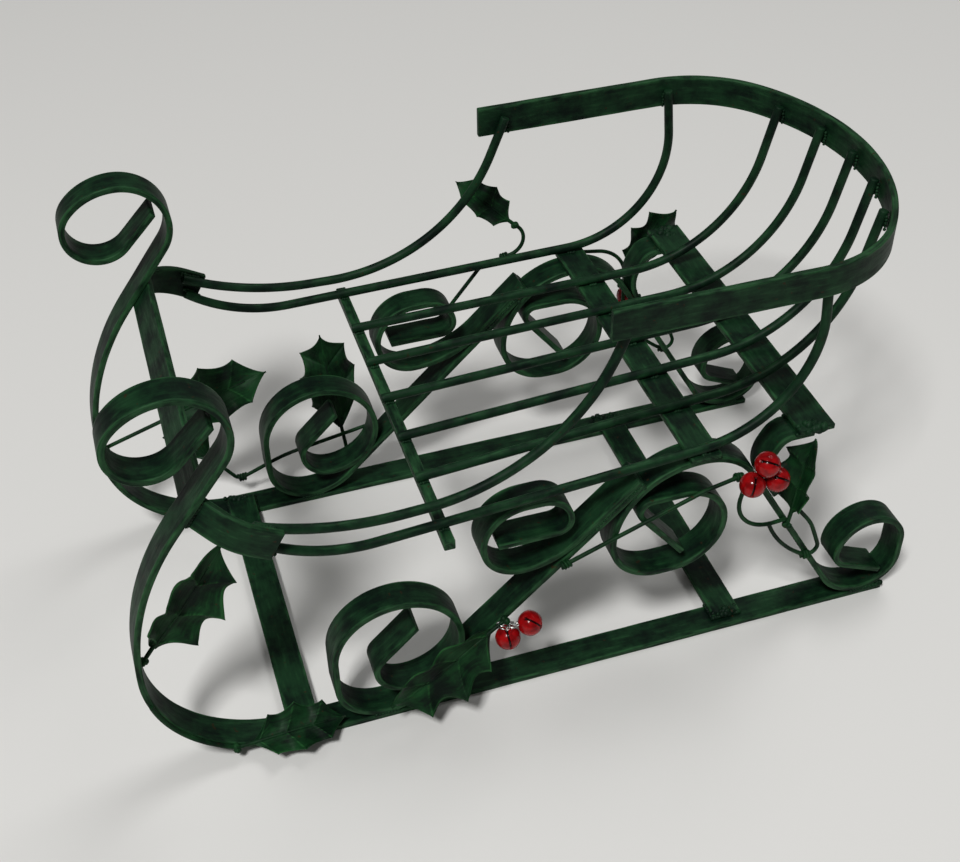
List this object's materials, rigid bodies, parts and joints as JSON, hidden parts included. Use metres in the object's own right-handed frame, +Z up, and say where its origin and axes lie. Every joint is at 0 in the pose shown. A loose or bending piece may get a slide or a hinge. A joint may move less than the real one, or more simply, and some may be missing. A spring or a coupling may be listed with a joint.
{
  "type": "ornamental sleigh",
  "caption": "Welded flat-bar tabletop sleigh with scroll-work sides, curled runners and a rod basket, dressed with holly leaves and small bells, used as a decoration and holder.",
  "frame": {"origin": "middle of the overall length and width, on the ground under the runners", "axes": "+X forward to the curls of the runners, +Y to the sleigh's left, +Z up"},
  "size_m": [0.4084, 0.2275, 0.2315],
  "materials": {
    "green_paint": "dark green dry-brushed",
    "leaf_paint": "dark green dry-brushed",
    "red_enamel": "gloss"
  },
  "bodies": {
    "root": {"runner_left": "green_paint", "runner_right": "green_paint", "low_crossbar_front": "green_paint", "low_crossbar_rear": "green_paint", "neck_crossbar": "green_paint", "seat_crossbar_front": "green_paint", "seat_crossbar_rear": "green_paint", "square_bar": "green_paint", "slat_1": "green_paint", "slat_2": "green_paint", "slat_3": "green_paint", "slat_4": "green_paint", "slat_5": "green_paint", "side_rod_left": "green_paint", "side_rod_right": "green_paint", "arm_rod_left": "green_paint", "arm_rod_right": "green_paint", "rim": "green_paint", "tab_left": "green_paint", "tab_right": "green_paint", "brace_scroll_left": "green_paint", "brace_scroll_right": "green_paint", "upper_scroll_left": "green_paint", "upper_scroll_right": "green_paint", "s_scroll_left": "green_paint", "s_scroll_right": "green_paint", "rear_strut_left": "green_paint", "rear_strut_right": "green_paint", "vine_left": "leaf_paint", "vine_loop_left": "leaf_paint", "vine_foot_left": "leaf_paint", "vine_right": "leaf_paint", "vine_loop_right": "leaf_paint", "vine_foot_right": "leaf_paint", "vine_arm_right": "leaf_paint", "leaf_shin_left": "leaf_paint", "leaf_foot_left": "leaf_paint", "leaf_brace_left": "leaf_paint", "leaf_rear_left": "leaf_paint", "leaf_shin_right": "leaf_paint", "leaf_foot_right": "leaf_paint", "leaf_brace_right": "leaf_paint", "leaf_rear_right": "leaf_paint", "leaf_arm_right": "leaf_paint", "bell_front_left_1": "red_enamel", "bell_front_left_2": "red_enamel", "bell_rear_left_1": "red_enamel", "bell_rear_left_2": "red_enamel", "bell_rear_left_3": "red_enamel", "bell_rear_right_1": "red_enamel", "bell_rear_right_2": "red_enamel", "bell_rear_right_3": "red_enamel"}
  },
  "joints": []
}
